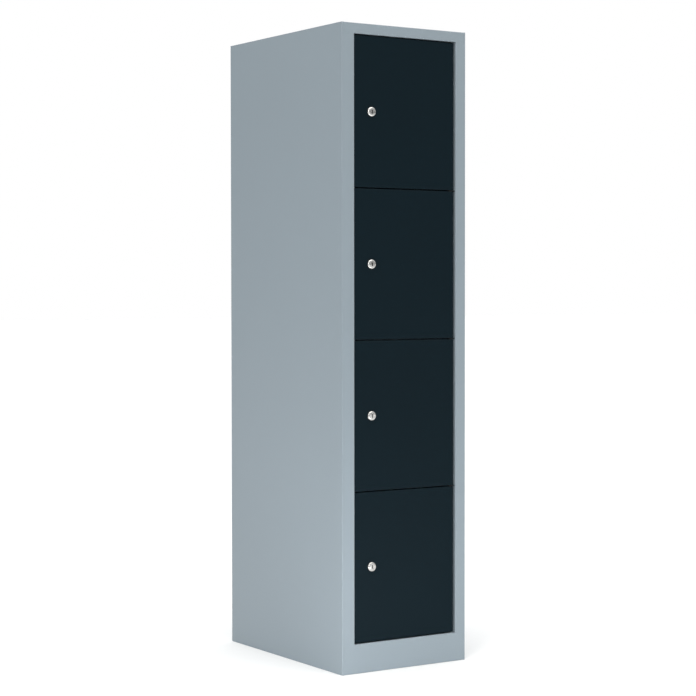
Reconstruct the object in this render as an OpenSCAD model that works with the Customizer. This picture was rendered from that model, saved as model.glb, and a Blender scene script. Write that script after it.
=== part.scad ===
// Steel locker cabinet: one column of compartments behind cam-locked pivot doors.
// Millimetres, +Z up, +X to the right seen from the front, the doors face -Y.
// The origin is the centre of the footprint, on the floor.

/* [Cabinet] */
// Width over the side panels
cabinet_w = 420; // [380:10:600]
// Depth from the front frame to the back panel
cabinet_d = 620; // [450:10:700]
// Height from the floor to the top of the roof
cabinet_h = 1800; // [1600:10:2000]
// Number of compartments, each with its own door
compartments = 4; // [2:1:5]
// Thickness of the steel sheet
sheet = 1; // [0.8:0.1:1]
// Inside radius of every bend
bend_in = 1; // [0.8:0.1:1]

/* [Front frame] */
// Width of the stile on the lock side of the doors
lock_stile_w = 41; // [38:1:45]
// Width of the stile on the hinge side of the doors
hinge_stile_w = 34; // [32:1:40]
// Height of the band above the doors
top_band_h = 29; // [26:1:40]
// Height of the plinth below the doors
plinth_h = 82; // [80:1:120]
// Depth of the lock-side stile, to the back of its lip
lock_stile_d = 26; // [25:0.5:27]
// Depth of the hinge-side stile
hinge_stile_d = 29; // [28:1:31]
// Width of the lip that the cams hook behind
lip_w = 12; // [10:1:14]

/* [Doors] */
// How far the door faces sit behind the frame
door_inset = 4; // [3:0.5:4]
// Depth of a door pan
door_d = 18; // [18:1:18]
// Width of the flange folded in round the back of a door
door_return = 12; // [10:1:14]
// Gap between a door and the lock-side stile
lock_gap = 3; // [2:0.5:4]
// Gap between a door and the hinge-side stile
hinge_gap = 6; // [4:0.5:6]
// Gap above the top door and below the bottom one
end_gap = 3; // [2:0.5:4]
// Gap between two doors
door_gap = 3; // [3:0.5:4]
// Pivot axis, in from the hinge edge of the door
pivot_in = 9; // [8.5:0.5:10]
// Pivot axis, behind the door's face
pivot_back = 6; // [6:0.5:7]
// Radius of a pivot pin
pin_r = 2.5; // [2:0.5:2.5]

/* [Locks] */
// Lock axis, in from the opening edge of the door
lock_in = 55; // [50:1:60]
// Radius of the lock's rosette
rosette_r = 14; // [13:0.5:15]
// How far the rosette stands off the door
rosette_h = 6.9; // [6.5:0.1:7.5]
// Radius of the threaded barrel
barrel_r = 9.5; // [9.5:0.5:9.5]
// Width over the barrel's two flats
barrel_flats = 16; // [15:0.5:17]
// Radius of the round face of the plug
plug_face_r = 8; // [7.5:0.5:8]
// Radius of the plug inside the barrel
plug_r = 6; // [5.5:0.5:6]

/* [Base] */
// Levelling foot, in from the side of the cabinet
foot_in_x = 50; // [46:1:60]
// Levelling foot, in from the front and the back
foot_in_y = 52; // [50:1:70]
// Radius of a foot's threaded stem
stem_r = 4; // [4:1:4]

/* [Back] */
// Radius of the holes for wall screws
wall_hole_r = 4.5; // [3.5:0.5:5.5]
// Distance between the two wall screws
wall_spacing = 300; // [200:10:320]

/* [Hidden] */
$fn = 48;
bend_out = bend_in + sheet;
bend_mid = bend_in + sheet / 2;
half = sheet / 2;
weld_gap = 0.2;
fit = 0.05;
eps = 0.01;

side_x = cabinet_w / 2;
front_y = -cabinet_d / 2;
back_y = cabinet_d / 2;
return_w = 20;
back_in_y = back_y - sheet;

// Opening in the front frame
open_left = -side_x + lock_stile_w;
open_right = side_x - hinge_stile_w;
open_z0 = plinth_h;
open_z1 = cabinet_h - top_band_h;
corner_strip = 6;
band_x = side_x - corner_strip - weld_gap;

// Doors, counted from the top
door_left = open_left + lock_gap;
door_right = open_right - hinge_gap;
door_w = door_right - door_left;
door_mid = (door_left + door_right) / 2;
door_h = (open_z1 - open_z0 - 2 * end_gap - (compartments - 1) * door_gap) / compartments;
door_y = front_y + door_inset;
pivot_x = door_right - pivot_in;
pivot_y = door_y + pivot_back;
function door_z(n) = open_z0 + end_gap + (compartments - n) * (door_h + door_gap);
function shelf_z(n) = door_z(n) - door_gap / 2;

// Pivots
bush_r = 4;
bush_len = 8;
collar_r = 5.5;
collar_h = 0.4;
plate_t = 1.5;
plate_leg = 24;
pin_end = 8;

// Locks
lock_x = door_left + lock_in;
plug_recess = 0.4;
plug_face_t = 2;
cam_t = 1.6;
cam_gap = 0.4;
cam_y = front_y + lock_stile_d + cam_gap;
barrel_end = cam_y - door_y - 0.2;
cam_front = cam_y - door_y;
cam_reach = lock_x - open_left - 3;
shaft_w = 7;
nut_flats = 24;
nut_t = 4;

// Shelves and floor
shelf_front_y = front_y + lock_stile_d + 0.5;
shelf_wide_y = front_y + hinge_stile_d + 1;
shelf_x = side_x - sheet - 0.3;
shelf_back_y = back_in_y - sheet - 0.3;
shelf_fold = 20;
shelf_flange = 15;
floor_fold = 15;

// Levelling feet
foot_x = side_x - foot_in_x;
foot_y = back_y - foot_in_y;
bracket_z = 28;
bracket_t = 3;
access_r = 10;
FEET = [["front_left", -1, -1], ["front_right", 1, -1], ["rear_left", -1, 1], ["rear_right", 1, 1]];

// Wall screws and vents in the back panel
wall_hole_z = cabinet_h - 65;
vent_len = 80;
vent_h = 6;
vent_pitch = 18;
vent_drop = 55;

body_paint = "#98a3ab";
door_paint = "#1b262c";
zinc = "#b9bcbd";
black_zinc = "#2c2d2f";
black_nylon = "#232425";
black_rubber = "#26282a";
foot_plastic = "#3a3d40";
grey_plastic = "#8d979e";
chrome = "#d8dadc";

// ---------- Sheet-metal helpers ----------

// A strip of sheet between two points on a line along X or Y
module strip(a, b) {
    lo = [min(a.x, b.x), min(a.y, b.y)];
    run = [abs(b.x - a.x), abs(b.y - a.y)];
    grow = run.x > run.y ? [0, half] : [half, 0];
    translate(lo - grow) square(run + 2 * grow);
}

// A quarter ring: the bend at corner c, entered along u and left along v
module bend(c, u, v) {
    centre = c + bend_mid * (v - u);
    reach = bend_out * (u - v);
    translate(centre) intersection() {
        difference() {
            circle(bend_out);
            circle(bend_in);
        }
        translate([min(0, reach.x), min(0, reach.y)]) square([abs(reach.x), abs(reach.y)]);
    }
}

function along(a, b) = (b - a) / norm(b - a);

// The section of a folded sheet whose middle line runs through the points p
module folded(p) {
    last = len(p) - 1;
    for (i = [0:last - 1]) {
        d = along(p[i], p[i + 1]);
        strip(p[i] + (i == 0 ? 0 : bend_mid) * d, p[i + 1] - (i == last - 1 ? 0 : bend_mid) * d);
    }
    for (i = [1:1:last - 1])
        bend(p[i], along(p[i - 1], p[i]), along(p[i], p[i + 1]));
}

// Extrusions of a section along each axis; a section's axes keep X, Y, Z order
module run_z(z0, z1) {
    translate([0, 0, z0]) linear_extrude(z1 - z0) children();
}

module run_x(x0, x1) {
    translate([x0, 0, 0]) rotate([90, 0, 90]) linear_extrude(x1 - x0) children();
}

module run_y(y0, y1) {
    translate([0, y1, 0]) rotate([90, 0, 0]) linear_extrude(y1 - y0) children();
}

module both_sides() {
    children();
    mirror([1, 0, 0]) children();
}

module block(lo, hi) {
    translate(lo) cube(hi - lo);
}

// ---------- Carcass ----------

// Plan of a side panel, drawn for the left: rear return, side, corner, then the front part
module side_plan(front_part) {
    rear = [[-side_x + return_w, back_in_y - half], [-side_x + half, back_in_y - half]];
    folded(concat(rear, [[-side_x + half, front_y + half]], front_part));
}

// A whole side panel, drawn for the left; stile is the plan of its front frame part
module side_panel(stile) {
    corner = [[-side_x + corner_strip, front_y + half]];
    run_z(0, open_z0) side_plan(corner);
    run_z(open_z0, open_z1) side_plan(stile);
    run_z(open_z1, cabinet_h - sheet) side_plan(corner);
    side_flange(0);
    side_flange(cabinet_h - 2 * sheet);
}

// The flange folded in along the bottom or the top of a side panel
module side_flange(z) {
    inset = 16;
    block([-side_x + sheet - eps, front_y + inset, z], [-side_x + return_w, back_y - inset, z + sheet]);
}

module left_side_panel() {
    stile = [
        [open_left - half, front_y + half],
        [open_left - half, front_y + lock_stile_d - half],
        [open_left + lip_w, front_y + lock_stile_d - half]
    ];
    color(body_paint) side_panel(stile);
}

module right_side_panel() {
    stile = [
        [-open_right - half, front_y + half],
        [-open_right - half, front_y + hinge_stile_d - half],
        [-open_right - 10, front_y + hinge_stile_d - half]
    ];
    color(body_paint) difference() {
        mirror([1, 0, 0]) side_panel(stile);
        for (n = [1:compartments - 1])
            translate([open_right, pivot_y, shelf_z(n)]) block([-1, -5.3, -1.2], [2, 5.3, 1.2]);
    }
}

// A section run on each side of the opening, above or below the stiles
module beside_opening() {
    run_x(-band_x, open_left + eps) children();
    run_x(open_right - eps, band_x) children();
}

module roof_panel() {
    top = [[front_y + half, cabinet_h - half], [front_y + 20, cabinet_h - half]];
    sill = [[front_y + lock_stile_d - 1, open_z1 + half], [front_y + half, open_z1 + half]];
    color(body_paint) difference() {
        union() {
            run_x(open_left, open_right) folded(concat(sill, top));
            beside_opening() folded(concat([[front_y + half, open_z1]], top));
            run_z(cabinet_h - sheet, cabinet_h) roof_plan();
            rear_lip = [side_x - 22, back_in_y - sheet, cabinet_h - 15];
            block([-rear_lip.x, rear_lip.y, rear_lip.z], [rear_lip.x, back_in_y, cabinet_h - half]);
        }
        translate([pivot_x, pivot_y, open_z1 - 1]) cylinder(r = pin_r, h = sheet + 2);
    }
}

// The flat of the roof, with rounded ears over the front corners of the side panels
module roof_plan() {
    translate([-side_x, front_y + bend_out]) square([cabinet_w, cabinet_d - bend_out]);
    both_sides() {
        translate([band_x, front_y]) square([side_x - bend_out - band_x, bend_out + eps]);
        translate([side_x - bend_out, front_y + bend_out]) circle(bend_out);
    }
}

module plinth_front() {
    rim = [[front_y + half, half], [front_y + 15, half]];
    sill = [[shelf_front_y - 0.3, open_z0 - half], [front_y + half, open_z0 - half]];
    color(body_paint) difference() {
        union() {
            run_x(open_left, open_right) folded(concat(sill, rim));
            beside_opening() folded(concat([[front_y + half, open_z0]], rim));
        }
        translate([pivot_x, pivot_y, open_z0 - sheet - 1]) cylinder(r = pin_r, h = sheet + 2);
    }
}

module rear_base_rail() {
    section = [
        [back_in_y - return_w, half],
        [back_in_y - half, half],
        [back_in_y - half, 60]
    ];
    rail_x = side_x - return_w - 0.5;
    color(body_paint) run_x(-rail_x, rail_x) folded(section);
}

module back_panel() {
    color(body_paint) run_y(back_in_y, back_y) difference() {
        translate([-side_x + half, sheet]) square([cabinet_w - sheet, cabinet_h - 2 * sheet]);
        for (x = [-1, 1] * wall_spacing / 2)
            translate([x, wall_hole_z]) circle(wall_hole_r);
        for (n = [1:compartments], k = [0:2])
            translate([0, door_z(n) + door_h - vent_drop - k * vent_pitch]) vent_slot();
    }
}

module vent_slot() {
    flat = vent_len - vent_h;
    translate([-flat / 2, -vent_h / 2]) square([flat, vent_h]);
    both_sides() translate([flat / 2, 0]) circle(vent_h / 2);
}

// A tray with its flanges folded down, at the level z of its middle line
module tray(z, front_fold) {
    y0 = shelf_front_y + half;
    y1 = shelf_back_y - half;
    x1 = shelf_x - half;
    lap = 25;
    run_z(z - half, z + half) {
        translate([open_left + 0.5, shelf_front_y + bend_out])
            square([open_right - open_left - 1, shelf_wide_y - shelf_front_y]);
        translate([-shelf_x + bend_out, shelf_wide_y])
            square([2 * (shelf_x - bend_out), shelf_back_y - bend_out - shelf_wide_y]);
    }
    run_x(open_left + 0.5, open_right - 0.5) folded([[y0 + lap, z], [y0, z], [y0, z - front_fold]]);
    run_x(-shelf_x + 4, shelf_x - 4) folded([[y1 - lap, z], [y1, z], [y1, z - shelf_flange]]);
    both_sides()
        run_y(shelf_wide_y, shelf_back_y - 4) folded([[x1 - lap, z], [x1, z], [x1, z - shelf_flange]]);
}

module shelf(n) {
    color(body_paint) tray(shelf_z(n), shelf_fold);
}

module floor_panel() {
    color(body_paint) difference() {
        tray(open_z0 - half, floor_fold);
        at_feet() translate([0, 0, open_z0 - 3]) cylinder(r = access_r, h = 6);
    }
}

// ---------- Door pivots ----------

module hinge_plates() {
    color(black_zinc)
        for (n = [1:compartments - 1]) translate([0, 0, shelf_z(n) - plate_t / 2]) {
            difference() {
                linear_extrude(plate_t) {
                    translate([pivot_x, pivot_y]) circle(5);
                    translate([pivot_x, pivot_y - 5]) square([open_right + sheet + plate_t - pivot_x, 10]);
                }
                translate([pivot_x, pivot_y, -1]) cylinder(r = pin_r, h = plate_t + 2);
            }
            leg_x = open_right + sheet;
            block([leg_x, pivot_y - 5, 0], [leg_x + plate_t, front_y + hinge_stile_d - 2, plate_leg]);
        }
}

module hinge_pins() {
    head_r = 4;
    head_h = 2;
    color(black_zinc) translate([pivot_x, pivot_y, 0]) {
        for (n = [1:compartments - 1])
            translate([0, 0, shelf_z(n)]) cylinder(r = pin_r, h = door_gap + 2 * pin_end, center = true);
        top = open_z1 - end_gap - pin_end;
        translate([0, 0, top]) cylinder(r = pin_r, h = open_z1 + sheet - top + eps);
        translate([0, 0, open_z1 + sheet]) cylinder(r = head_r, h = head_h);
        foot = open_z0 - sheet;
        translate([0, 0, foot - eps]) cylinder(r = pin_r, h = sheet + end_gap + pin_end + eps);
        translate([0, 0, foot - head_h]) cylinder(r = head_r, h = head_h);
    }
}

// ---------- Rubber door buffers on the lock-side lip ----------

module door_buffers() {
    lip_y = front_y + lock_stile_d - sheet;
    height = lip_y - door_y - door_d - 0.4;
    color(black_rubber)
        for (n = [1:compartments], z = [45, door_h - 45])
            translate([open_left + lip_w / 2, lip_y, door_z(n) + z]) rotate([90, 0, 0])
                cylinder(r1 = 4.5, r2 = 3.2, h = height);
}

// ---------- Levelling feet ----------

module at_feet() {
    for (f = FEET) translate([f[1] * foot_x, f[2] * foot_y, 0]) children();
}

module leveller_brackets() {
    wall_x = side_x - sheet - 0.1;
    inner_x = foot_x - 22;
    outer_y = back_y - 4;
    color(body_paint)
        for (f = FEET) mirror([f[1] < 0 ? 1 : 0, 0, 0]) mirror([0, f[2] < 0 ? 1 : 0, 0]) {
            difference() {
                block([inner_x, foot_y - 24, bracket_z], [wall_x, outer_y, bracket_z + bracket_t]);
                translate([foot_x, foot_y, bracket_z - 1]) cylinder(r = stem_r + 0.5, h = bracket_t + 2);
            }
            block([wall_x - 2, foot_y - 24, bracket_z + bracket_t - eps], [wall_x, outer_y, bracket_z + 24]);
        }
}

module leveller_nuts() {
    flats = 13;
    color(zinc) at_feet() translate([0, 0, bracket_z + bracket_t]) difference() {
        cylinder(d = flats / cos(30), h = 6.5, $fn = 6);
        translate([0, 0, -1]) cylinder(r = stem_r + fit, h = 9);
    }
}

// One levelling foot: a pad with a threaded stem and a hexagon socket in its top
module levelling_foot(f) {
    pad_r = 16;
    pad_t = 5;
    stem_top = 58;
    color(foot_plastic) translate([f[1] * foot_x, f[2] * foot_y, 0.5]) difference() {
        union() {
            cylinder(r1 = pad_r - 1, r2 = pad_r, h = 1);
            translate([0, 0, 1]) cylinder(r = pad_r, h = pad_t - 2.5);
            translate([0, 0, pad_t - 1.5]) cylinder(r1 = pad_r, r2 = stem_r + 3, h = 3);
            translate([0, 0, pad_t]) cylinder(r = stem_r, h = stem_top - pad_t);
        }
        translate([0, 0, stem_top - 4]) cylinder(d = 4 / cos(30), h = 5, $fn = 6);
    }
}

module access_plugs() {
    color(grey_plastic) at_feet() translate([0, 0, open_z0]) difference() {
        union() {
            cylinder(r1 = access_r + 2.5, r2 = access_r + 1.6, h = 1.4);
            translate([0, 0, -6]) cylinder(r = access_r - 0.1, h = 6.5);
        }
        translate([0, 0, -7]) cylinder(r = access_r - 1.6, h = 6.8);
    }
}

// ---------- Doors ----------

module round_rect(w, h, r) {
    translate([r, 0]) square([w - 2 * r, h]);
    translate([0, r]) square([w, h - 2 * r]);
    for (x = [r, w - r], y = [r, h - r]) translate([x, y]) circle(r);
}

// A box with every edge round along its height and its width, corners closed
module pan_solid(w, d, h, r) {
    intersection() {
        run_z(0, h) translate([-w / 2, 0]) round_rect(w, d, r);
        run_x(-w / 2 - 1, w / 2 + 1) round_rect(d, h, r);
    }
}

module at_pivot(n) {
    translate([pivot_x, pivot_y, door_z(n)]) children();
}

// At the lock of door n, on the door's face, with +Z pointing out of the door
module at_lock(n) {
    translate([lock_x, door_y, door_z(n) + door_h / 2]) rotate([90, 0, 0]) children();
}

module barrel_outline(grow) {
    intersection() {
        circle(barrel_r + grow);
        square([barrel_flats + 2 * grow, 3 * barrel_r], center = true);
    }
}

module door_panel(n) {
    inner = [door_w - 2 * door_return, door_h - 2 * door_return];
    color(door_paint) difference() {
        translate([door_mid, door_y, door_z(n)]) difference() {
            pan_solid(door_w, door_d, door_h, bend_out);
            translate([0, sheet, sheet])
                pan_solid(door_w - 2 * sheet, door_d - 2 * sheet, door_h - 2 * sheet, bend_in);
            translate([-inner.x / 2, door_d / 2, door_return]) cube([inner.x, door_d, inner.y]);
        }
        at_pivot(n) translate([0, 0, -1]) cylinder(r = bush_r, h = door_h + 2);
        at_lock(n) translate([0, 0, -sheet - 1]) linear_extrude(sheet + 2) barrel_outline(0.1);
    }
}

// A plain bush pressed into a door flange, with its thrust collar outside
module bush() {
    difference() {
        union() {
            cylinder(r = collar_r, h = collar_h);
            translate([0, 0, -bush_len]) cylinder(r = bush_r, h = bush_len + collar_h);
        }
        translate([0, 0, -bush_len - 1]) cylinder(r = pin_r + fit, h = bush_len + 3);
    }
}

module door_bushes(n) {
    color(black_nylon) at_pivot(n) {
        translate([0, 0, door_h]) bush();
        rotate([180, 0, 0]) bush();
    }
}

// ---------- Cam locks ----------

// Rosette and flatted barrel, with a stepped bore for the plug
module lock_body(n) {
    step = rosette_h - plug_recess - plug_face_t - fit;
    color(chrome) at_lock(n) difference() {
        union() {
            rotate_extrude() intersection() {
                square([rosette_r + 1, rosette_h]);
                union() {
                    translate([rosette_r - 5.9, 0.9]) circle(6);
                    square([rosette_r - 5.9, rosette_h]);
                }
            }
            translate([0, 0, -barrel_end]) linear_extrude(barrel_end + 1) barrel_outline(0);
        }
        translate([0, 0, step]) cylinder(r = plug_face_r + fit, h = 10);
        translate([0, 0, -barrel_end - 1]) cylinder(r = plug_r + fit, h = barrel_end + 10);
    }
}

module lock_nut(n) {
    color(zinc) at_lock(n) translate([0, 0, -sheet - nut_t]) difference() {
        cylinder(d = nut_flats / cos(30), h = nut_t, $fn = 6);
        translate([0, 0, -1]) cylinder(r = barrel_r + fit, h = nut_t + 2);
    }
}

// The part the key turns: round face with a keyway, plug, and square end for the cam
module lock_plug(n) {
    face = rosette_h - plug_recess;
    color(chrome) at_lock(n) difference() {
        union() {
            translate([0, 0, face - plug_face_t]) cylinder(r = plug_face_r, h = plug_face_t);
            translate([0, 0, -cam_front]) cylinder(r = plug_r, h = cam_front + face - 1);
            translate([0, 0, -cam_front - cam_t / 2]) cube([shaft_w, shaft_w, cam_t + eps], center = true);
        }
        translate([-0.9, -4.75, face - 14]) cube([1.8, 9.5, 15]);
        translate([-0.1, 1.75, face - 14]) cube([2.2, 1.5, 15]);
        translate([0, 0, -cam_front - cam_t - 1]) cylinder(r = 2 + fit, h = 9);
    }
}

// A flat cam: hub with a square hole and a tapered arm, hanging down when unlocked
module lock_cam(n) {
    tip_r = 5.5;
    arm = cam_reach - tip_r;
    color(zinc) at_lock(n) translate([0, 0, -cam_front - cam_t]) difference() {
        union() {
            cylinder(r = 8.5, h = cam_t);
            linear_extrude(cam_t) polygon([[-7.5, 0], [7.5, 0], [tip_r, -arm], [-tip_r, -arm]]);
            translate([0, -arm, 0]) cylinder(r = tip_r, h = cam_t);
        }
        translate([0, 0, cam_t / 2]) cube([shaft_w + 0.1, shaft_w + 0.1, cam_t + 2], center = true);
    }
}

module lock_screw(n) {
    head_h = 2.4;
    color(zinc) at_lock(n) translate([0, 0, -cam_front - cam_t]) difference() {
        union() {
            translate([0, 0, -head_h]) cylinder(r1 = 3.4, r2 = 4.6, h = head_h);
            translate([0, 0, -eps]) cylinder(r = 2, h = 7);
        }
        translate([0, 0, -head_h]) {
            cube([4.4, 0.9, 2.4], center = true);
            cube([0.9, 4.4, 2.4], center = true);
        }
    }
}

// ---------- What is drawn ----------

left_side_panel();
right_side_panel();
back_panel();
roof_panel();
floor_panel();
plinth_front();
rear_base_rail();
hinge_plates();
hinge_pins();
door_buffers();
leveller_brackets();
leveller_nuts();
access_plugs();
for (n = [1:compartments - 1])
    shelf(n);
for (f = FEET)
    levelling_foot(f);
for (n = [1:compartments]) {
    door_panel(n);
    door_bushes(n);
    lock_body(n);
    lock_nut(n);
    lock_plug(n);
    lock_cam(n);
    lock_screw(n);
}
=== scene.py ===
"""Looks of the four-door steel locker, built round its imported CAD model. Metres, doors facing -Y."""

import math

import bmesh
import bpy
from mathutils import Matrix, Vector


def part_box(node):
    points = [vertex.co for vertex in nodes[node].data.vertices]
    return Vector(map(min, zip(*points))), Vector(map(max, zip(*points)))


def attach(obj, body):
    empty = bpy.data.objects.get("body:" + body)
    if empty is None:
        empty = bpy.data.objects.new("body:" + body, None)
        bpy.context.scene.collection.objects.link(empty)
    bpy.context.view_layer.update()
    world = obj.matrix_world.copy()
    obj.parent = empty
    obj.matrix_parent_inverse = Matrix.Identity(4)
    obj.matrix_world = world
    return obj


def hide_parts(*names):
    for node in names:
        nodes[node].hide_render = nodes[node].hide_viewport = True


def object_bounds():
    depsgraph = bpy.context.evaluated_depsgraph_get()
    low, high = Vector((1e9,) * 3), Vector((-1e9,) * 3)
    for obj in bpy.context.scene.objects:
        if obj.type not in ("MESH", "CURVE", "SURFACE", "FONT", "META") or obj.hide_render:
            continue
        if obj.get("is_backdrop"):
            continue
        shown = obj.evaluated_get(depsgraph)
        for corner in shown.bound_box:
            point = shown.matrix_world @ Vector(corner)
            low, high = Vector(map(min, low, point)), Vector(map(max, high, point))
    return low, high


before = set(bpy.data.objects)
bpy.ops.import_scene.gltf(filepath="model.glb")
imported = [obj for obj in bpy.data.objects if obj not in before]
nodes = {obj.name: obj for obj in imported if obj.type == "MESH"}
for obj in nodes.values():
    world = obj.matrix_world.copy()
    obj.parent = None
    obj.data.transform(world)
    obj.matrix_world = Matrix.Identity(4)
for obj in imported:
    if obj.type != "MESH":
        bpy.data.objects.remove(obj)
cad_low, cad_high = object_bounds()
MM = 0.001
DOORS = [n for n in range(1, 9) if f"door_{n}_panel" in nodes]
SHELVES = [n for n in range(1, 9) if f"shelf_{n}" in nodes]
FEET = ["front_left", "front_right", "rear_left", "rear_right"]


# ---------- Shader helpers ----------

def add(tree, kind, inputs=None, **settings):
    """Adds a node. An input given as a socket is linked, and any other value is set."""
    node = tree.nodes.new(kind)
    for name, value in settings.items():
        setattr(node, name, value)
    for name, value in (inputs or {}).items():
        if isinstance(value, bpy.types.NodeSocket):
            tree.links.new(value, node.inputs[name])
        else:
            node.inputs[name].default_value = value
    return node


def noise(tree, place, scale, detail=2.0, roughness=0.5):
    values = {"Vector": place, "Scale": scale, "Detail": detail, "Roughness": roughness}
    return add(tree, "ShaderNodeTexNoise", values).outputs["Fac"]


def spread(tree, value, low, high, start=0.3, end=0.7):
    """Maps the middle of a noise to the range low to high."""
    values = {"Value": value, "From Min": start, "From Max": end, "To Min": low, "To Max": high}
    return add(tree, "ShaderNodeMapRange", values).outputs["Result"]


def shades(tree, factor, dark, light):
    """A colour that goes from dark to light with the factor."""
    mix = add(tree, "ShaderNodeMix", {"Factor": factor}, data_type="RGBA")
    for socket, value in ((6, dark), (7, light)):
        mix.inputs[socket].default_value = value
    return mix.outputs[2]


def bump(tree, height, distance, below=None):
    values = {"Height": height, "Distance": distance, "Strength": 1.0}
    if below is not None:
        values["Normal"] = below
    return add(tree, "ShaderNodeBump", values).outputs["Normal"]


def tone(colour, share=1.0):
    return tuple(channel * share for channel in colour) + (1.0,)


def drifting(tree, factor, colour, drift):
    """A colour that gets darker and lighter by the share drift."""
    return shades(tree, spread(tree, factor, 0, 1), tone(colour, 1 - drift), tone(colour, 1 + drift))


def material(name, values):
    """A material with one Principled shader. values(tree, place) gives the shader's inputs."""
    made = bpy.data.materials.new(name)
    made.use_nodes = True
    tree = made.node_tree
    tree.nodes.clear()
    place = add(tree, "ShaderNodeTexCoord").outputs["Object"]
    shader = add(tree, "ShaderNodeBsdfPrincipled", values(tree, place))
    add(tree, "ShaderNodeOutputMaterial", {"Surface": shader.outputs["BSDF"]})
    return made


# ---------- Materials ----------

def powder_coat(name, colour, roughness, specular, drift):
    """Polyester powder coat: orange peel about a millimetre across, and sheet that isn't quite flat."""
    def values(tree, place):
        slow = noise(tree, place, 1.7, 2.0)
        peel = noise(tree, place, 620.0, 1.5, 0.45)
        grain = noise(tree, place, 2600.0, 2.0)
        sheet = noise(tree, place, 5.0, 1.0, 0.4)
        flat = bump(tree, sheet, 0.0009)
        return {
            "Base Color": drifting(tree, slow, colour, drift),
            "Roughness": spread(tree, grain, roughness - 0.03, roughness + 0.05),
            "Specular IOR Level": specular,
            "Normal": bump(tree, peel, 0.000018, flat),
        }
    return material(name, values)


def chrome_plate(name):
    """Decorative chrome on a zinc casting: a mirror with faint waves and hairline scratches."""
    def values(tree, place):
        stretch = add(tree, "ShaderNodeMapping", {"Vector": place, "Scale": (1.0, 0.08, 1.0)})
        hairs = noise(tree, stretch.outputs["Vector"], 5200.0, 2.0)
        waves = noise(tree, place, 260.0, 1.0)
        return {
            "Base Color": shades(tree, waves, tone((0.54, 0.535, 0.52)), tone((0.60, 0.60, 0.59))),
            "Metallic": 1.0,
            "Roughness": spread(tree, hairs, 0.12, 0.20),
            "Normal": bump(tree, waves, 0.00003),
        }
    return material(name, values)


def zinc_plate(name, dark, light):
    """Zinc plate, whose passivate drifts between two shades."""
    def values(tree, place):
        patches = noise(tree, place, 90.0, 3.0)
        grain = noise(tree, place, 1800.0, 3.0)
        return {
            "Base Color": shades(tree, spread(tree, patches, 0, 1), tone(dark), tone(light)),
            "Metallic": 1.0,
            "Roughness": spread(tree, grain, 0.28, 0.46),
            "Normal": bump(tree, grain, 0.00001),
        }
    return material(name, values)


def moulded(name, colour, roughness, texture, depth, drift=0.04):
    """A moulded plastic or rubber: fine surface texture and a slight drift of shade."""
    def values(tree, place):
        slow = noise(tree, place, 60.0, 2.0)
        fine = noise(tree, place, texture, 2.0)
        return {
            "Base Color": drifting(tree, slow, colour, drift),
            "Roughness": spread(tree, fine, roughness - 0.05, roughness + 0.06),
            "Normal": bump(tree, fine, depth),
        }
    return material(name, values)


BODY = powder_coat("body_powder_coat", (0.215, 0.260, 0.293), 0.38, 0.48, 0.012)
DOOR = powder_coat("door_powder_coat", (0.0026, 0.0087, 0.0128), 0.42, 0.07, 0.05)
CHROME = chrome_plate("chrome_plate")
ZINC = zinc_plate("zinc_plate", (0.50, 0.53, 0.56), (0.62, 0.61, 0.55))
BLACK_ZINC = zinc_plate("black_zinc_plate", (0.020, 0.021, 0.024), (0.035, 0.034, 0.032))
NYLON = moulded("black_nylon", (0.022, 0.022, 0.023), 0.42, 900.0, 0.00001, 0.1)
RUBBER = moulded("black_rubber", (0.018, 0.018, 0.02), 0.78, 1500.0, 0.00002, 0.15)
GREY_PLASTIC = moulded("grey_plastic", (0.22, 0.26, 0.285), 0.45, 1200.0, 0.00001)
# Painted shade: the keyway's inside walls are coloured near-black to stand in for the shade inside the
# slot, not for the metal they are.
KEYWAY_SHADE = moulded("keyway_painted_shade", (0.004, 0.004, 0.004), 0.8, 1500.0, 0.00001, 0.2)
FOOT_PLASTIC = moulded("foot_plastic", (0.03, 0.033, 0.037), 0.5, 1200.0, 0.00001, 0.1)


# ---------- CAD nodes that stay ----------

WELD_GAP = 0.015 * MM
FLAT_ANGLE = math.radians(0.4)
BEVEL_ANGLE = math.radians(38)


def even_normals(piece):
    """Keeps the flats flat next to their bends."""
    even = piece.modifiers.new("even_normals", "WEIGHTED_NORMAL")
    even.weight = 60


def dress(node, surface, edge, clamp=False):
    """Gives a CAD node its material, eased cut edges and even normals. Its own mesh isn't changed."""
    piece = nodes[node]
    piece.data.materials.clear()
    piece.data.materials.append(surface)
    piece.data.polygons.foreach_set("use_smooth", [True] * len(piece.data.polygons))
    weld = piece.modifiers.new("weld", "WELD")
    weld.merge_threshold = WELD_GAP
    faces = piece.modifiers.new("whole_faces", "DECIMATE")
    faces.decimate_type = "DISSOLVE"
    faces.angle_limit = FLAT_ANGLE
    ease = piece.modifiers.new("eased_edges", "BEVEL")
    ease.width = edge
    ease.segments = 2
    ease.limit_method = "ANGLE"
    ease.angle_limit = BEVEL_ANGLE
    ease.use_clamp_overlap = clamp
    even_normals(piece)


dress("roof_panel", BODY, 0.2 * MM, clamp=True)
SHEET_PARTS = ["left_side_panel", "right_side_panel", "back_panel", "floor_panel", "plinth_front",
               "rear_base_rail", "leveller_brackets"]
for sheet_part in SHEET_PARTS + [f"shelf_{n}" for n in SHELVES]:
    dress(sheet_part, BODY, 0.2 * MM)
for n in DOORS:
    dress(f"door_{n}_bushes", NYLON, 0.25 * MM)
    dress(f"door_{n}_lock_nut", ZINC, 0.4 * MM)
    dress(f"lock_{n}_cam", ZINC, 0.25 * MM)
    dress(f"lock_{n}_screw", ZINC, 0.15 * MM)
for foot in FEET:
    dress(f"foot_{foot}", FOOT_PLASTIC, 0.3 * MM)
dress("hinge_plates", BLACK_ZINC, 0.2 * MM)
dress("hinge_pins", BLACK_ZINC, 0.3 * MM)
dress("leveller_nuts", ZINC, 0.4 * MM)
dress("door_buffers", RUBBER, 0.7 * MM)
dress("access_plugs", GREY_PLASTIC, 0.3 * MM)


# ---------- Mesh helpers ----------

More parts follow.
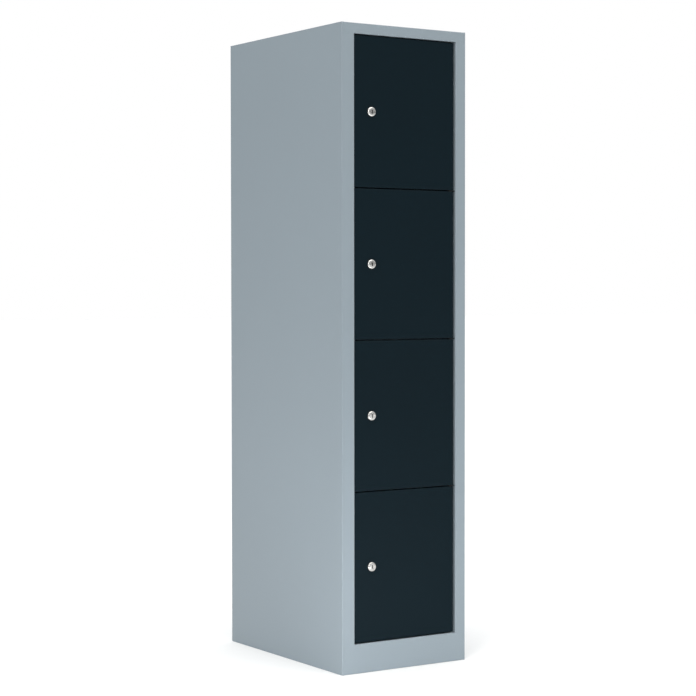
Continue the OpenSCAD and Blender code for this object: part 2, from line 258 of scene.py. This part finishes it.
MERGE_GAP = 0.0001 * MM
CREASE_ANGLE = math.radians(35)


def bridge(mesh, low, high):
    """Faces between two rings of vertices, either of which may be a single point."""
    for i in range(max(len(low), len(high))):
        corners = [low[i % len(low)], low[(i + 1) % len(low)],
                   high[(i + 1) % len(high)], high[i % len(high)]]
        mesh.faces.new(dict.fromkeys(corners))


def shell(name, build, surface):
    """A mesh built by a function, with smooth faces and sharp creases."""
    mesh = bmesh.new()
    build(mesh)
    bmesh.ops.remove_doubles(mesh, verts=mesh.verts, dist=MERGE_GAP)
    bmesh.ops.recalc_face_normals(mesh, faces=mesh.faces)
    data = bpy.data.meshes.new(name)
    mesh.to_mesh(data)
    mesh.free()
    data.materials.append(surface)
    crease(data)
    return data


def crease(data):
    """Smooth faces, with sharp edges where the surface turns by more than the angle."""
    data.polygons.foreach_set("use_smooth", [True] * len(data.polygons))
    data.set_sharp_from_angle(angle=CREASE_ANGLE)


def show(name, data, matrix, body, slot_name, *stands_for):
    """Puts a piece in place, on its body, instead of the CAD nodes that it stands for."""
    piece = bpy.data.objects.new(name, data)
    bpy.context.scene.collection.objects.link(piece)
    piece.matrix_world = matrix
    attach(piece, body)
    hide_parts(*stands_for)
    return piece


def arc(centre, radius, start, end, steps=5):
    """Points on an arc, with the angles in degrees."""
    turns = [math.radians(start + (end - start) * k / steps) for k in range(steps + 1)]
    return [(centre[0] + radius * math.cos(a), centre[1] + radius * math.sin(a)) for a in turns]


# ---------- Door pans ----------

SHEET = 1.0 * MM
BEND = 2.0 * MM
DISH = 0.25 * MM
RETURN = 12.0 * MM
LIP_EASE = 0.2 * MM
ACROSS = 12
UP = 14
door_low, door_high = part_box("door_1_panel")
DOOR_DEPTH = door_high.y - door_low.y


def rectangle_ring(mesh, low, high, inset, depth):
    """A ring of vertices round a door outline, inset from its edge. Its corners are round near the edge."""
    radius = max(BEND - inset, 0)
    x0, x1 = low.x + inset + radius, high.x - inset - radius
    z0, z1 = low.z + inset + radius, high.z - inset - radius
    corners = [(x1, z1, 0), (x0, z1, 90), (x0, z0, 180), (x1, z0, 270)]
    ring = []
    for k, (x, z, turn) in enumerate(corners):
        ring += [mesh.verts.new((a, low.y + depth, b)) for a, b in arc((x, z), radius, turn, turn + 90)]
        next_x, next_z, next_turn = corners[(k + 1) % 4]
        start = (ring[-1].co.x, ring[-1].co.z)
        end = arc((next_x, next_z), radius, next_turn, next_turn, 1)[0]
        parts = ACROSS if k % 2 == 0 else UP
        for i in range(1, parts):
            share = i / parts
            ring.append(mesh.verts.new((start[0] + (end[0] - start[0]) * share, low.y + depth,
                                        start[1] + (end[1] - start[1]) * share)))
    return ring


def face_grid(mesh, low, high, depth):
    """The flat of a door, dished very slightly, as sheet is after its edges are folded."""
    width = high.x - low.x - 2 * BEND
    height = high.z - low.z - 2 * BEND
    rows = []
    for j in range(UP + 1):
        row = []
        for i in range(ACROSS + 1):
            u, v = i / ACROSS, j / UP
            dish = DISH * math.sin(math.pi * u) ** 2 * math.sin(math.pi * v) ** 2
            row.append(mesh.verts.new((low.x + BEND + width * u, low.y + depth + dish,
                                       low.z + BEND + height * v)))
        rows.append(row)
    for below, above in zip(rows, rows[1:]):
        for i in range(ACROSS):
            mesh.faces.new((below[i], below[i + 1], above[i + 1], above[i]))


def build_door(low, high):
    """A pan: one sheet with its four sides folded back and their edges folded in."""
    inner = BEND - SHEET
    far = DOOR_DEPTH - BEND
    outside = arc((BEND, BEND), BEND, 270, 180) + arc((BEND, far), BEND, 180, 90)
    inside = arc((BEND, far), inner, 90, 180) + arc((BEND, BEND), inner, 180, 270)
    lip = [(RETURN - LIP_EASE, DOOR_DEPTH), (RETURN, DOOR_DEPTH - LIP_EASE),
           (RETURN, DOOR_DEPTH - SHEET + LIP_EASE), (RETURN - LIP_EASE, DOOR_DEPTH - SHEET)]

    def build(mesh):
        rings = [rectangle_ring(mesh, low, high, inset, depth)
                 for inset, depth in outside + lip + inside]
        for near, beyond in zip(rings, rings[1:]):
            bridge(mesh, near, beyond)
        face_grid(mesh, low, high, 0)
        face_grid(mesh, low, high, SHEET)
    return build


for n in DOORS:
    low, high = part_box(f"door_{n}_panel")
    pan = shell(f"door_{n}_pan", build_door(low, high), DOOR)
    door = show(f"door_{n}_pan", pan, Matrix.Identity(4), f"door_{n}", "door_paint", f"door_{n}_panel")
    even_normals(door)


# ---------- Turned parts ----------

def rounded_outline(corners, steps=5):
    """An outline through corners (radius, height, fillet), each turned into an arc of its fillet."""
    points = []
    for i, (x, y, fillet) in enumerate(corners):
        here = Vector((x, y))
        if fillet <= 0:
            points.append(here)
            continue
        before = (Vector(corners[i - 1][:2]) - here).normalized()
        after = (Vector(corners[(i + 1) % len(corners)][:2]) - here).normalized()
        inner = before.angle(after)
        centre = here + (before + after).normalized() * fillet / math.sin(inner / 2)
        arm = here + before * fillet / math.tan(inner / 2) - centre
        turn = -math.copysign(math.pi - inner, before.cross(after))
        for k in range(steps + 1):
            points.append(centre + Matrix.Rotation(turn * k / steps, 2) @ arm)
    return points


def revolve(mesh, outline, around=96, closed=False):
    """Turns an outline of (radius, height) in millimetres about local Z."""
    rings = []
    for point in outline:
        count = around if point.x > 1e-6 else 1
        angles = [2 * math.pi * k / around for k in range(count)]
        rings.append([mesh.verts.new((point.x * math.cos(a) * MM, point.x * math.sin(a) * MM, point.y * MM))
                      for a in angles])
    for low, high in zip(rings, rings[1:] + rings[:1] if closed else rings[1:]):
        bridge(mesh, low, high)


def threaded(mesh, radius, bore, flats, top, bottom, pitch=1.5, depth=0.5, around=64):
    """A tube with an outside thread and two flats on it, in millimetres."""
    rows = round((top - bottom) / pitch * 4)
    rings = []
    for row in range(rows + 1):
        height = top - (top - bottom) * row / rows
        ring = []
        for k in range(around):
            angle = 2 * math.pi * k / around
            crest = abs(2 * ((height / pitch - k / around) % 1) - 1)
            reach = radius - depth * crest
            x = max(-flats / 2, min(flats / 2, reach * math.cos(angle)))
            ring.append(mesh.verts.new((x * MM, reach * math.sin(angle) * MM, height * MM)))
        rings.append(ring)
    angles = [2 * math.pi * k / around for k in range(around)]
    for height in (bottom, top):
        rings.append([mesh.verts.new((bore * math.cos(a) * MM, bore * math.sin(a) * MM, height * MM))
                      for a in angles])
    for low, high in zip(rings, rings[1:] + rings[:1]):
        bridge(mesh, low, high)


# ---------- Cam locks (in millimetres, from the door's face outwards) ----------

rosette_low, rosette_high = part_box("door_1_lock_body")
door_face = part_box("door_1_panel")[0].y
ROSETTE_R = (rosette_high.x - rosette_low.x) / 2 / MM
ROSETTE_H = (door_face - rosette_low.y) / MM
BARREL_END = (rosette_high.y - door_face) / MM
PLUG_END = (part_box("lock_1_cam")[0].y - door_face) / MM
BARREL_R = 9.5
BARREL_FLATS = 16.0
BARREL_TOP = -0.5
PLUG_FACE_R = 8.0
PLUG_R = 6.0
PLUG_FACE_H = ROSETTE_H - 0.4
STEP_H = PLUG_FACE_H - 2.05
STEP_FIT = 0.05
RIM_H = 0.7
LIP_R = 0.25
CROWN_WIDTH = 0.7
FIT = 0.06
KEYWAY_HALF_W = 1.45
KEYWAY_HALF_H = 5.0
KEYWAY_DEPTH = 14.0
WARD_W = 1.2
WARD_H = 1.5


def build_lock_body(mesh):
    """Domed rosette with a stepped bore, and the threaded barrel behind it."""
    bore = PLUG_FACE_R + FIT
    crown = PLUG_FACE_R + CROWN_WIDTH
    inside = [(PLUG_R + FIT, 0), (PLUG_R + FIT, STEP_H), (bore, STEP_H)]
    lip = arc((bore + LIP_R, ROSETTE_H - LIP_R), LIP_R, 180, 90, 4)
    steps = 16
    dome = []
    for k in range(steps + 1):
        turn = math.radians(90) * k / steps
        dome.append((crown + (ROSETTE_R - crown) * math.sin(turn),
                     RIM_H + (ROSETTE_H - RIM_H) * math.cos(turn)))
    revolve(mesh, [Vector(point) for point in inside + lip + dome + [(ROSETTE_R, 0)]], closed=True)
    threaded(mesh, BARREL_R, PLUG_R + FIT, BARREL_FLATS, BARREL_TOP, -BARREL_END)


def build_plug(mesh):
    """The face that the key turns, and the plug behind it."""
    outline = [
        (0, PLUG_FACE_H, 0), (PLUG_FACE_R, PLUG_FACE_H, 0.3), (PLUG_FACE_R, STEP_H + STEP_FIT, 0),
        (PLUG_R, STEP_H + STEP_FIT, 0), (PLUG_R, -PLUG_END, 0.3), (0, -PLUG_END, 0),
    ]
    revolve(mesh, rounded_outline(outline))


def build_keyway(mesh):
    """The warded slot for the key: a narrow slit with a step at each end, on opposite sides."""
    ward_x = KEYWAY_HALF_W + WARD_W
    ward_y = WARD_H - KEYWAY_HALF_H
    step = [(-KEYWAY_HALF_W, -KEYWAY_HALF_H), (ward_x, -KEYWAY_HALF_H), (ward_x, ward_y),
            (KEYWAY_HALF_W, ward_y)]
    outline = step + [(-x, -y) for x, y in step]
    rings = [[mesh.verts.new((x * MM, y * MM, height * MM)) for x, y in outline]
             for height in (PLUG_FACE_H - KEYWAY_DEPTH, PLUG_FACE_H + 1)]
    bridge(mesh, *rings)
    for ring in rings:
        mesh.faces.new(ring)


def cut(data, cutter_data):
    """The mesh with another one taken out of it."""
    piece = bpy.data.objects.new("cut_piece", data)
    cutter = bpy.data.objects.new("cutter", cutter_data)
    for made in (piece, cutter):
        bpy.context.scene.collection.objects.link(made)
    boolean = piece.modifiers.new("cut", "BOOLEAN")
    boolean.object = cutter
    boolean.operation = "DIFFERENCE"
    boolean.solver = "EXACT"
    boolean.material_mode = "TRANSFER"
    depsgraph = bpy.context.evaluated_depsgraph_get()
    result = bpy.data.meshes.new_from_object(piece.evaluated_get(depsgraph))
    for made in (piece, cutter):
        bpy.data.objects.remove(made)
    result.name = data.name
    crease(result)
    return result


lock_body_data = shell("lock_body", build_lock_body, CHROME)
# The cut gives the slot walls the cutter's near-black material, which is painted shade inside the keyway.
plug_data = cut(shell("lock_plug", build_plug, CHROME), shell("keyway", build_keyway, KEYWAY_SHADE))
for n in DOORS:
    low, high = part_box(f"door_{n}_lock_body")
    axis = Vector(((low.x + high.x) / 2, door_face, (low.z + high.z) / 2))
    place = Matrix.Translation(axis) @ Matrix.Rotation(math.radians(90), 4, "X")
    show(f"door_{n}_rosette", lock_body_data, place, f"door_{n}", "lock_chrome", f"door_{n}_lock_body")
    show(f"lock_{n}_key_plug", plug_data, place, f"lock_{n}", "lock_chrome", f"lock_{n}_plug")


# ---------- Floor, light and camera ----------

FLOOR_GAP = 0.2 * MM
FLOOR_HALF = 60.0


def paper_floor():
    """A wide pale floor, so that it reaches the horizon."""
    data = bpy.data.meshes.new("floor")
    corners = [(-FLOOR_HALF, -FLOOR_HALF, 0), (FLOOR_HALF, -FLOOR_HALF, 0),
               (FLOOR_HALF, FLOOR_HALF, 0), (-FLOOR_HALF, FLOOR_HALF, 0)]
    data.from_pydata(corners, [], [(0, 1, 2, 3)])

    def values(tree, place):
        fibres = noise(tree, place, 30.0, 4.0)
        return {
            "Base Color": shades(tree, fibres, tone((0.94, 0.94, 0.94)), tone((0.97, 0.97, 0.97))),
            "Roughness": 0.85,
            "Specular IOR Level": 0.1,
        }
    data.materials.append(material("pale_floor", values))
    floor = bpy.data.objects.new("floor", data)
    floor.location.z = cad_low.z - FLOOR_GAP
    bpy.context.scene.collection.objects.link(floor)
    floor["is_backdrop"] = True


def softbox(name, centre, target, width, height, glow, tint=(1, 1, 1)):
    """A rectangular light whose surface has the radiance glow."""
    light = bpy.data.lights.new(name, "AREA")
    light.shape = "RECTANGLE"
    light.size, light.size_y = width, height
    light.energy = glow * math.pi * width * height
    light.color = tint
    lamp = bpy.data.objects.new(name, light)
    lamp.location = centre
    lamp.rotation_euler = (Vector(target) - Vector(centre)).to_track_quat("-Z", "Y").to_euler()
    lamp.visible_camera = False
    bpy.context.scene.collection.objects.link(lamp)


def studio_world(horizon, zenith):
    """Light that grows from the horizon to the zenith, behind a white backdrop."""
    world = bpy.data.worlds.new("studio")
    world.use_nodes = True
    tree = world.node_tree
    tree.nodes.clear()
    direction = add(tree, "ShaderNodeTexCoord").outputs["Generated"]
    height = add(tree, "ShaderNodeSeparateXYZ", {"Vector": direction}).outputs["Z"]
    glow = spread(tree, height, horizon, zenith, 0.0, 1.0)
    dome = add(tree, "ShaderNodeBackground", {"Color": (0.985, 0.995, 1.0, 1), "Strength": glow})
    backdrop = add(tree, "ShaderNodeBackground", {"Color": (1, 1, 1, 1), "Strength": 1.0})
    seen = add(tree, "ShaderNodeLightPath").outputs["Is Camera Ray"]
    mixed = add(tree, "ShaderNodeMixShader", {"Fac": seen})
    tree.links.new(dome.outputs["Background"], mixed.inputs[1])
    tree.links.new(backdrop.outputs["Background"], mixed.inputs[2])
    add(tree, "ShaderNodeOutputWorld", {"Surface": mixed.outputs["Shader"]})
    bpy.context.scene.world = world


def studio_camera():
    """A long lens at chest height, off the left front corner."""
    data = bpy.data.cameras.new("camera")
    data.lens = 97.364
    data.sensor_width = 36.0
    camera = bpy.data.objects.new("camera", data)
    turn = math.radians(32.8953)
    tilt = math.radians(-1.7222)
    roll = math.radians(-0.0541)
    camera.matrix_world = (
        Matrix.Translation((-3.0054, -4.6620, 1.0617))
        @ Matrix.Rotation(-turn, 4, "Z")
        @ Matrix.Rotation(math.radians(90) + tilt, 4, "X")
        @ Matrix.Rotation(roll, 4, "Z")
    )
    bpy.context.scene.collection.objects.link(camera)
    bpy.context.scene.camera = camera


paper_floor()
studio_world(horizon=0.27, zenith=1.60)
middle = (cad_low + cad_high) / 2
softbox("overhead", (-0.3, -1.1, 3.7), (-0.1, -0.3, 1.0),
        width=3.4, height=1.8, glow=1.65, tint=(1, 0.945, 0.86))
softbox("key", (-3.1, -3.0, 2.3), middle,
        width=0.7, height=1.8, glow=9.0, tint=(1, 0.965, 0.92))
softbox("low", (-0.5, -1.05, 0.04), (0.02, -0.2, 0.02),
        width=2.0, height=0.06, glow=18.0)
studio_camera()
bpy.context.scene.view_settings.view_transform = "Standard"

low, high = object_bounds()
